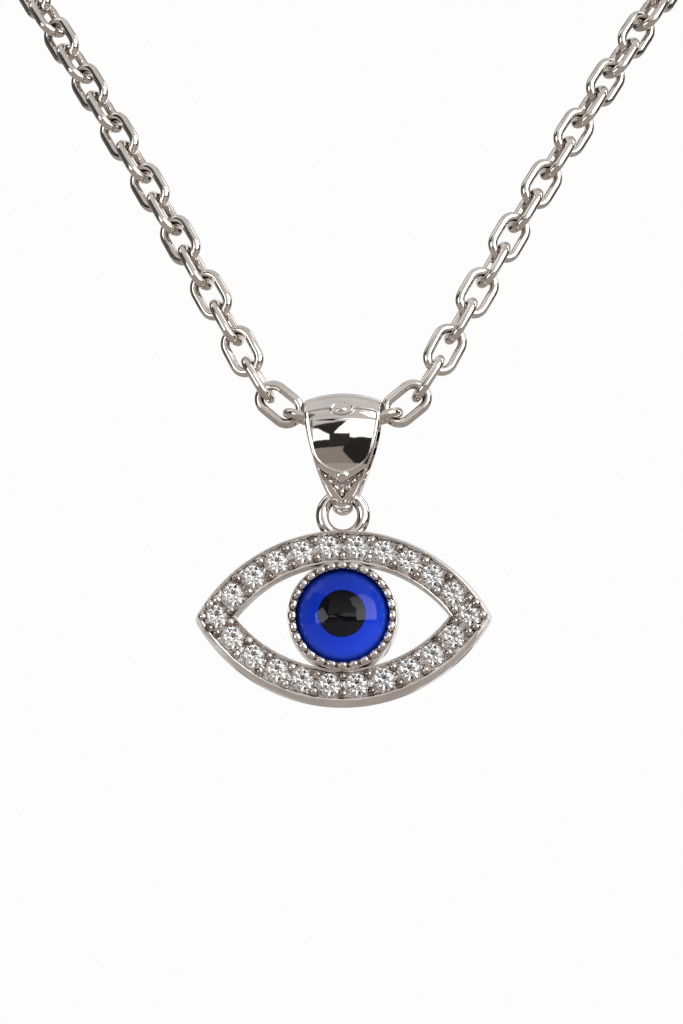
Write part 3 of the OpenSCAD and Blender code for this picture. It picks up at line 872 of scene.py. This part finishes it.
def route_point(i):
    last = len(CHAIN_ROUTE) - 1
    if i < 0:
        return mirrored(CHAIN_ROUTE[-i])
    return CHAIN_ROUTE[i] if i <= last else mirrored(CHAIN_ROUTE[2 * last - i])


def half_curve():
    """Points of the smooth curve through half the route."""
    curve = []
    for i in range(len(CHAIN_ROUTE) - 1):
        a, b, c, d = (Vector(route_point(i + k)) for k in (-1, 0, 1, 2))
        square, cube = 2 * a - 5 * b + 4 * c - d, 3 * b - a - 3 * c + d
        for j in range(ROUTE_STEPS):
            t = j / ROUTE_STEPS
            curve.append((2 * b + (c - a) * t + square * t ** 2 + cube * t ** 3) / 2)
    return curve + [Vector(CHAIN_ROUTE[-1])]


def link_places():
    """Place and turn of each link, shared evenly between the bail and the clasp."""
    curve = half_curve()
    lengths = [0.0]
    for a, b in zip(curve, curve[1:]):
        lengths.append(lengths[-1] + (b - a).length)
    half_length = lengths[-1]

    def along(s):
        if s < 0:
            return Vector(mirrored(along(-s)))
        if s > half_length:
            return Vector(mirrored(along(2 * half_length - s)))
        i = next((k for k in range(len(curve) - 1) if s <= lengths[k + 1]), len(curve) - 2)
        return curve[i].lerp(curve[i + 1], (s - lengths[i]) / (lengths[i + 1] - lengths[i]))

    clasp_reach = LINK_L / 2 + CLASP_L / 2 - WIRE_D - CLASP_WIRE_D - LINK_GAP
    count = ceil((half_length - clasp_reach) / LINK_STEP)
    step = (half_length - clasp_reach) / count
    places, turns = [], []
    for k in range(count + 1):
        joint_a, joint_b = along((k - 0.5) * step), along((k + 0.5) * step)
        t = joint_b - joint_a
        at = (joint_a + joint_b) / 2
        heading = atan2(t.y, t.x)
        pitch = -asin(t.z / t.length)
        roll = pi / 2 * (k % 2)
        for side in (1, -1) if k else (1,):
            places.append((HANG + Vector((side * at.x, at.y, at.z))) * MM)
            turns.append((roll, side * pitch, side * heading))
    clasp_roll = pi / 2 * ((count + 1) % 2)
    return places, turns, (HANG + Vector(CHAIN_ROUTE[-1])) * MM, (clasp_roll, 0, 0)


def link_sizes(length, width, wire):
    return {"Length": length * MM, "Width": width * MM, "Wire": wire * MM}


def make_chain():
    """The chain, and the clasp as one long link of thicker wire."""
    tree = link_tree()
    places, turns, clasp_at, clasp_turn = link_places()
    chain_sizes = link_sizes(LINK_L, LINK_W, WIRE_D)
    clasp_sizes = link_sizes(CLASP_L, CLASP_W, CLASP_WIRE_D)
    chain = grow("cable_chain", tree, chain_sizes, places, turns)
    return chain, grow("nape_clasp", tree, clasp_sizes, [clasp_at], [clasp_turn])


# Bail

BAIL_TOP = BAIL_BORE_R + BAIL_WALL
BAIL_DROP = HANG.z - RING_HINGE.z
BORE_FOOT_R = RING_WIRE_D / 2 + RING_GAP
FOOT_R = BORE_FOOT_R + FOOT_WALL
FOOT_Z = BAIL_DROP + RING_R - FOOT_R
# The arc of the bail's front touches the top and foot circles, and its centre lies behind them
TOP_REACH = BAIL_FACE_R - BAIL_TOP
FOOT_REACH = BAIL_FACE_R - FOOT_R
FACE_Z = (FOOT_REACH ** 2 - TOP_REACH ** 2 - FOOT_Z ** 2) / (2 * FOOT_Z)
FACE_Y = sqrt(TOP_REACH ** 2 - FACE_Z ** 2)
TOP_TOUCH = asin(FACE_Z / TOP_REACH)
FOOT_TOUCH = asin((FOOT_Z + FACE_Z) / FOOT_REACH)


def skin_point(part, share):
    """Point and outward direction, back and up, on one arc of the bail's side outline."""
    centre, r, first, last = {
        "foot_front": ((0, -FOOT_Z), FOOT_R, 1.5 * pi, pi + FOOT_TOUCH),
        "front": ((FACE_Y, FACE_Z), BAIL_FACE_R, pi + FOOT_TOUCH, pi + TOP_TOUCH),
        "top": ((0, 0), BAIL_TOP, pi + TOP_TOUCH, -TOP_TOUCH),
        "back": ((-FACE_Y, FACE_Z), BAIL_FACE_R, -TOP_TOUCH, -FOOT_TOUCH),
        "foot_back": ((0, -FOOT_Z), FOOT_R, -FOOT_TOUCH, -0.5 * pi),
    }[part]
    a = first + (last - first) * share
    out = Vector((cos(a), sin(a)))
    return Vector(centre) + out * r, out


def up_wall(part, share):
    """Share of the straight inner wall that lies below a place of the outline."""
    return {"front": share, "back": 1 - share, "top": 1}.get(part, 0)


def bore_point(part, share):
    """Point and outward direction on the bail's inside, a teardrop with straight sides."""
    tilt = asin((BAIL_BORE_R - BORE_FOOT_R) / BAIL_DROP)
    first, last = {
        "foot_front": (1.5 * pi, pi + tilt), "front": (pi + tilt, pi + tilt),
        "top": (pi + tilt, -tilt), "back": (-tilt, -tilt), "foot_back": (-tilt, -0.5 * pi),
    }[part]
    a = first + (last - first) * share
    out = Vector((cos(a), sin(a)))
    low, high = Vector((0, -BAIL_DROP)) + out * BORE_FOOT_R, out * BAIL_BORE_R
    return low.lerp(high, up_wall(part, share)), out


def bail_half_width(z):
    """Half width of the bail at a height: bowed sides that narrow to the foot under the neck."""
    side_z = max(z, NECK_Z)
    side = BAIL_W / 2 - BAIL_SIDE_R + sqrt(BAIL_SIDE_R ** 2 - (side_z - BAIL_SIDE_Z) ** 2)
    t = min((side_z - z) / (NECK_Z - FOOT_EDGE_Z), 1)
    return side + (FOOT_HALF_W - side) * (1.4 * t - 0.4 * t * t)


def egg(x, q, centre, size, lean, height):
    """Height of a smooth egg-shaped bump on the bail's front."""
    dx, dq = x - centre[0], q - centre[1]
    along = dx * sin(lean) + dq * cos(lean)
    across = dx * cos(lean) - dq * sin(lean)
    inside_egg = 1 - (across / size[0]) ** 2 - (along / size[1]) ** 2
    return height * sqrt(inside_egg) if inside_egg > 0 else 0.0


# Petals and grains of the lower field: place, half sizes, lean and height
PETALS = [
    ((0, -5.38), (0.19, 0.33), 0, 0.25), ((0.44, -5.04), (0.18, 0.3), 30, 0.24),
    ((0.86, -4.58), (0.165, 0.27), 42, 0.23), ((1.25, -4.14), (0.12, 0.22), 48, 0.2),
    ((0, -4.92), (0.09, 0.09), 0, 0.19), ((0.42, -4.56), (0.08, 0.08), 0, 0.18),
    ((0.82, -4.2), (0.08, 0.08), 0, 0.17),
]
LOW_PETALS = [
    ((-0.1, -6.14), (0.1, 0.19), 0, 0.13), ((0.2, -6.12), (0.11, 0.21), 0, 0.14),
    ((0.46, -6.16), (0.09, 0.16), 20, 0.12), ((-0.46, -5.98), (0.1, 0.24), -58, 0.12),
]
# The ornament of the panel's top and the nub of the chevron, as the petals are
ORNAMENT = ((-0.06, 0.82), (0.36, 0.22), 0, 0.13)
NUB = ((0.03, -4.18), (0.48, 0.42), 0, 0.19)


def tallest(x, q, eggs):
    return max(egg(x, q, at, size, radians(lean), height) for at, size, lean, height in eggs)


def petal_field(x, q):
    """Distance into the field between the chevron and the V rib, negative outside it."""
    ax = abs(x)
    side = bail_half_width(min(q, BAIL_TOP)) - BORDER_W * 0.9 - ax
    chevron = CHEVRON_Z - CHEVRON_SLOPE * (CHEVRON_X - ax) - q
    return smooth_min([side, chevron, q - RIB_Z - RIB_SLOPE * ax], 0.1)


def relief(x, q):
    """Height of the bail's front over its border, at a distance right and a height up the skin."""
    half_w = bail_half_width(min(q, BAIL_TOP))
    ax = abs(x)
    side = half_w - BORDER_W - ax
    round_end = (q - PANEL_FOOT - PANEL_SAG * x * x) / hypot(1, 2 * PANEL_SAG * x)
    panel = smooth_min([side, PANEL_TOP - 0.02 * x * x - q, round_end], 0.3)
    height = -PANEL_DEPTH * smooth_step(-EDGE_W, EDGE_W, panel)
    # Oval pad with a fine ring and an egg on it, over the panel's top edge
    pad_r = hypot(x / PAD_HALF_W, (q - PAD_Z) / PAD_HALF_H)
    if pad_r < 1.1:
        height *= 1 - smooth_step(1.06, 0.98, pad_r)
        height += 0.035 * smooth_step(0.1, 0.03, abs(pad_r - 0.93))
        height -= 0.03 * smooth_step(0.9, 0.82, pad_r)
        height += tallest(x, q, [ORNAMENT])
    field = petal_field(x, q)
    if field > -0.2:
        height -= PETAL_DEPTH * smooth_step(-EDGE_W, EDGE_W * 1.5, field)
        if field > 0:
            height += tallest(ax, q, PETALS)
        # Fine line along the V rib
        line = smooth_step(0.12, 0.02, abs(q - RIB_LINE_Z - RIB_LINE_SLOPE * ax))
        height += RIB_LINE_H * line * smooth_step(-3.6, -3.9, q)
    low_side, low_top = half_w - 0.2 - ax, LOW_TOP_Z + LOW_SLOPE * ax - q
    low_field = smooth_min([low_side, low_top, q - LOW_FOOT_Z], 0.1)
    height -= LOW_DEPTH * smooth_step(-EDGE_W, EDGE_W, low_field)
    if low_field > 0:
        height += tallest(x, q, LOW_PETALS)
    return height + tallest(x, q, [NUB])


def crown_drop(x, half_w, foot_share):
    """How far the skin falls behind its middle: crowned across, and round at its corners."""
    crown = BAIL_CROWN_R - sqrt(BAIL_CROWN_R ** 2 - x * x)
    foot_x = min(abs(x), FOOT_HALF_W)
    foot_crown = FOOT_CROWN_R - sqrt(FOOT_CROWN_R ** 2 - foot_x ** 2)
    drop = crown * (1 - foot_share) + foot_crown * foot_share
    corner = BAIL_CORNER_R * (1 - foot_share)
    to_edge = half_w - abs(x)
    if to_edge < corner:
        drop += corner - sqrt(max(corner ** 2 - (corner - to_edge) ** 2, 0))
    return drop


def skin_row(part, share, columns):
    """One row across the bail's skin: its points, and where each lies and how far it rises."""
    p, out = skin_point(part, share)
    half_w = bail_half_width(p.y)
    # Height along the skin, which goes on round the top
    q, arch = p.y, 0.0
    if part == "top":
        q = BAIL_TOP * (share * (pi + 2 * TOP_TOUCH) - sin(TOP_TOUCH))
        arch = TOP_ARCH * sin(pi * share)
    front = part in ("foot_front", "front") or (part == "top" and share < 0.5)
    foot_share = smooth_step(*CROWN_ENDS, p.y)
    skin, places = [], []
    for j in range(columns + 1):
        t = 2 * j / columns - 1
        # The columns lie a little closer together towards the sides
        x = half_w * (0.8 * t + 0.2 * sin(pi / 2 * t))
        drop = crown_drop(x, half_w, foot_share) - arch * (1 - (x / half_w) ** 2)
        rise = relief(x, q) if front else 0.0
        skin.append(bail_point(x, p + out * (rise - drop)))
        places.append((x, q, rise))
    return skin, places, half_w


def make_bail():
    """Teardrop strap with a crowned skin: its rows run across it, from the foot round to the foot."""
    parts = [("foot_front", 56), ("front", 220), ("top", 150), ("back", 40), ("foot_back", 16)]
    columns = 176
    shell = Shell()
    skins, bores, places = [], [], []
    for part, rows in parts:
        for i in range(rows):
            skin, place, half_w = skin_row(part, i / rows, columns)
            skins.append(shell.ring(skin))
            places.append(place)
            bores.append(shell.ring(bore_row(part, i / rows, half_w)))
    count = len(skins)
    for k in range(count):
        n = (k + 1) % count
        for j in range(columns):
            x, q, rise = places[k][j]
            # Faces sunk in the petal field take the darker finish, painted shade
            in_field = rise < -PETAL_DEPTH / 3 and petal_field(x, q) > 0.02
            shell.face([skins[k][j], skins[k][j + 1], skins[n][j + 1], skins[n][j]], int(in_field))
        shell.bridge(bores[n], bores[k], closed=False)
        shell.face([skins[k][0], skins[n][0], bores[n][0], bores[k][0]])
        shell.face([skins[n][-1], skins[k][-1], bores[k][-1], bores[n][-1]])
    return shell.piece("bail_strap", [polished, shaded_recess], 60)


def bore_row(part, share, half_w, columns=24):
    """One row of the bail's inside, which widens under and beside the ring's wire at the foot."""
    p, out = bore_point(part, share)
    clear_r = RING_HOLE_D / 2 - RING_GAP
    from_down = abs(atan2(out.x, -out.y))
    under = 0.0
    if part.startswith("foot"):
        under = smooth_step(*map(radians, FOOT_WIDENS), from_down)
    beside = SWING_GAP * smooth_step(0.12, 0.0, up_wall(part, share))
    row = []
    for j in range(columns + 1):
        x = half_w * (2 * j / columns - 1)
        wide = max(RING_R - sqrt(max(clear_r ** 2 - x * x, 0.0)) - BORE_FOOT_R, 0.0)
        row.append(bail_point(x, p + out * max(wide * under, min(wide, beside))))
    return row


def bail_point(x, p):
    return (HANG + Vector((x, p.x, p.y))) * MM


# Walls, soft boxes, black flags and a grey card of the studio, seen from the pendant: azimuth and
# elevation of the middle, half width, half height and roll, all in degrees, and how bright each is.
# Each is drawn over the ones before it.
CARDS = [
    ("left_wall", -92, 4, 62, 50, 0, 0.14), ("right_wall", 92, 4, 62, 50, 0, 0.14),
    ("back_right_wall", 162, 0, 22, 50, 0, 0.92), ("back_left_wall", -162, 0, 22, 50, 0, 0.66),
    ("low_flag", 0, -1.6, 30, 1.6, 2, 0.028), ("low_right_flag", 10.5, -4.9, 11, 6, -26, 0.025),
    ("far_right_flag", 40, -8, 18, 6, -6, 0.03), ("far_left_flag", -46, -15, 18, 5, 6, 0.04),
    ("right_window", 46, 20, 23, 24, 8, 3.7), ("left_window", -46, 1, 14, 12, 36, 3.2),
    ("low_right_window", 9, 4.6, 17, 4.2, 0, 1.6), ("low_left_window", -18.3, 1.7, 7, 2.3, 0, 1.5),
    ("top_box", 0, 84, 60, 26, 0, 0.7), ("left_high_box", -98, 44, 18, 16, 12, 1.3),
    ("right_high_box", 102, 36, 12, 20, -10, 2.6),
    ("band_flag", -17.5, 5.6, 9.5, 2.6, -13, 0.03), ("wedge_flag", -4.5, 6.1, 8, 1.8, 25, 0.03),
    ("middle_flag", -4.2, -0.3, 8, 2.3, 0, 0.035),
    ("left_flag", -67, 4, 10, 40, 5, 0.02), ("right_flag", 80, 4, 10, 44, -4, 0.02),
    ("left_back_flag", -122, 0, 12, 60, 0, 0.04), ("right_back_flag", 128, 0, 11, 60, 0, 0.04),
    ("back_low_flag", 180, -4, 62, 1.2, 0, 0.3),
    ("front_card", 0, 13.4, 26, 6.4, 3, 0.68),
]
# Share of a card's half size over which its edge is soft, either way
CARD_SOFTNESS = 0.06
# Tone of the bare room at heights from straight down, 0, to straight up, 1
ROOM_TONES = [
    (0.0, (0.3, 0.262, 0.235)), (0.475, (0.3, 0.264, 0.235)), (0.56, (0.6, 0.585, 0.565)),
    (0.68, (0.62, 0.605, 0.59)), (0.85, (0.72, 0.705, 0.69)), (1.0, (0.46, 0.45, 0.44)),
]


def direction(azimuth, elevation):
    a, e = radians(azimuth), radians(elevation)
    return Vector((sin(a) * cos(e), -cos(a) * cos(e), sin(e)))


def panel_mask(nodes, way, azimuth, elevation, half_w, half_h, roll):
    """1 within a rectangle round a direction and 0 outside, with slightly soft edges."""
    def dot(axis):
        return nodes.measure("DOT_PRODUCT", way, tuple(axis))

    middle = direction(azimuth, elevation)
    side = Matrix.Rotation(radians(roll), 3, middle) @ direction(azimuth + 90, 0)
    ahead = nodes.math("MAXIMUM", dot(middle), 0.001)
    shares = []
    for axis, half in ((side, half_w), (side.cross(middle), half_h)):
        reach = nodes.math("ABSOLUTE", nodes.math("DIVIDE", dot(axis), ahead))
        limits = [tan(radians(half)) * (1 + soft) for soft in (-CARD_SOFTNESS, CARD_SOFTNESS)]
        shares.append(spread(nodes, reach, 1.0, 0.0, *limits, interpolation_type="SMOOTHSTEP"))
    return nodes.times(shares[0], shares[1])


def add_room():
    """Studio: white to the camera, and soft boxes and black flags in a grey room to everything else."""
    world = bpy.data.worlds.new("studio")
    bpy.context.scene.world = world
    world.use_nodes = True
    world.node_tree.nodes.clear()
    nodes = Nodes(world.node_tree)
    way = nodes.add("ShaderNodeTexCoord").outputs["Generated"]
    height = nodes.add("ShaderNodeSeparateXYZ", {0: way}).outputs["Z"]
    colour = ramp(nodes, nodes.times(nodes.math("ADD", height, 1.0), 0.5), ROOM_TONES)
    for name, *place, bright in CARDS:
        light = (bright, bright * 0.98, bright * 0.96, 1)
        colour = mix_colour(nodes, panel_mask(nodes, way, *place), colour, light, label=name)
    white_light = (0.98, 0.98, 0.98, 1)
    room = nodes.first("ShaderNodeBackground", {"Color": colour, "Strength": 1.0})
    white = nodes.first("ShaderNodeBackground", {"Color": white_light, "Strength": 1.0})
    seen = nodes.add("ShaderNodeLightPath").outputs["Is Camera Ray"]
    mix = nodes.first("ShaderNodeMixShader", {0: seen, 1: room, 2: white})
    nodes.link(mix, nodes.add("ShaderNodeOutputWorld").inputs["Surface"])


def add_floor():
    """Round floor under the pendant."""
    edge = [
        Vector((FLOOR_R * cos(a), FLOOR_R * sin(a), -FLOOR_DEPTH)) * MM
        for a in full_turn(FLOOR_CORNERS)
    ]
    mesh = bpy.data.meshes.new("floor")
    mesh.from_pydata(edge, [], [tuple(range(FLOOR_CORNERS))])
    mesh.materials.append(floor_material())
    add_object("floor", mesh)


def add_camera():
    """Camera that sees the glass's front where the photograph has it."""
    away = direction(CAMERA_AZIMUTH, CAMERA_ELEVATION)
    turn = away.to_track_quat("Z", "Y")
    right, up = turn @ Vector((1, 0, 0)), turn @ Vector((0, 1, 0))
    glass_front = EYE_CENTRE + Vector((0, -RING_PLANE, 0))
    aim = glass_front + (
        right * (PICTURE_W / 2 - EYE_PIXEL[0]) + up * (EYE_PIXEL[1] - PICTURE_H / 2)
    ) / PIXELS_PER_MM
    camera = bpy.data.cameras.new("camera")
    camera.sensor_fit = "VERTICAL"
    camera.sensor_height = 36
    camera.lens = camera.sensor_height * CAMERA_DISTANCE * PIXELS_PER_MM / PICTURE_H
    camera.clip_start, camera.clip_end = 0.01, 10
    holder = add_object("camera", camera)
    holder.location = (aim + away * CAMERA_DISTANCE) * MM
    holder.rotation_euler = turn.to_euler()
    bpy.context.scene.camera = holder


add_camera()
add_room()
add_floor()

settle(make_eye_frame(), "eye", "pendant_metal", "eye_setting")
settle(make_bezel(), "eye", "pendant_metal")
settle(make_ring(), "eye", "pendant_metal")
settle(grow("setting_beads", bead_tree(), {
    "Row radius": ROW_R * MM, "Row centre": ROW_CENTRE * MM, "Half angle": ROW_HALF_ANGLE,
    "Gaps": ARC_STONES - 1, "Side step": BEAD_SIDE * MM, "Bead diameter": BEAD_D * MM,
    "Height": (BED_H + BEAD_LIFT) * MM, "Tip reach": TIP_BEAD_REACH * MM,
    "Tip angle": radians(TIP_BEAD_ANGLE), "Tip beads": TIP_BEADS, "Row width": ROW_W * MM,
}), "eye", "pendant_metal")
settle(grow("bezel_grains", grain_tree(), {
    "Count": GRAIN_COUNT, "Radius": GRAIN_ROW_D / 2 * MM, "Height": (BEZEL_H - GRAIN_SINK) * MM,
    "Grain length": GRAIN_L * MM, "Grain width": GRAIN_W * MM, "Grain thickness": GRAIN_T * MM,
}), "eye", "pendant_metal")
settle(make_glass_eye(), "eye", "blue_glass", "glass_eye")
settle(make_pupil(), "eye", "black_glass", "pupil")
settle(make_bail(), "bail", "pendant_metal", "bail")
chain_piece, clasp_piece = make_chain()
settle(chain_piece, "root", "chain_metal", "chain")
settle(clasp_piece, "root", "chain_metal", "clasp")

for name, node in frame["nodes"].items():
    if name.startswith("stone_"):
        node.data.materials.clear()
        node.data.materials.append(brilliant_stone)

bpy.context.scene.view_settings.view_transform = "Standard"
